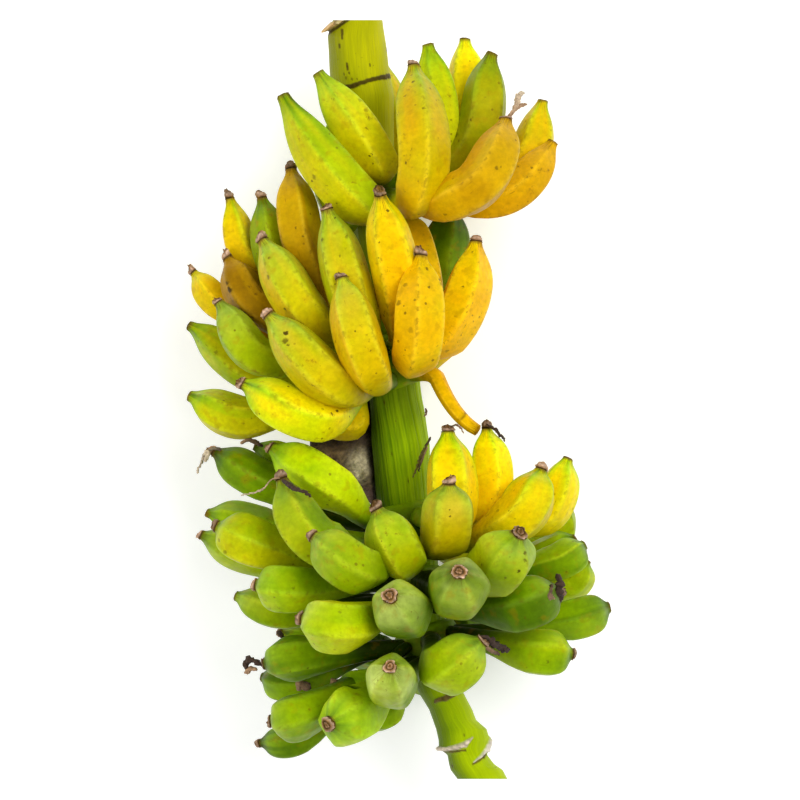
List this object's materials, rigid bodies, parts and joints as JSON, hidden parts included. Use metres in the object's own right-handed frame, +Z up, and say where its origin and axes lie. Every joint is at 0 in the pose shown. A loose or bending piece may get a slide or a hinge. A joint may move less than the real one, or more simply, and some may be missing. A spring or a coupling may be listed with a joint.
{
  "type": "banana bunch",
  "caption": "Whole bunch of short, angular, ripening bananas on its cut stalk, lying on its back as a display or food prop.",
  "frame": {"origin": "middle of the bounding box, on the surface that the bunch lies on", "axes": "+Y along the stalk towards its thick cut end, which was up while it hung; +Z up, away from the surface, towards the side that shows most fingers; +X to the right of that view"},
  "size_m": [0.336, 0.6122, 0.2904],
  "materials": {
    "stalk_skin": "fresh green fibrous stalk, satin, with darker streaks and dry brown scars",
    "ripe_skin": "satin banana skin, yellow with green necks and fine brown speckles",
    "turning_skin": "satin banana skin between green and yellow, with fine brown speckles",
    "green_skin": "satin green banana skin with a faint waxy bloom",
    "dry_bract": "dried papery plant tissue, matt, grey-brown"
  },
  "bodies": {
    "root": {"stalk": "stalk_skin", "hand_1": "ripe_skin", "hand_2": "ripe_skin", "hand_3": "turning_skin", "hand_4": "green_skin", "hand_5": "green_skin", "bract": "dry_bract"}
  },
  "joints": []
}
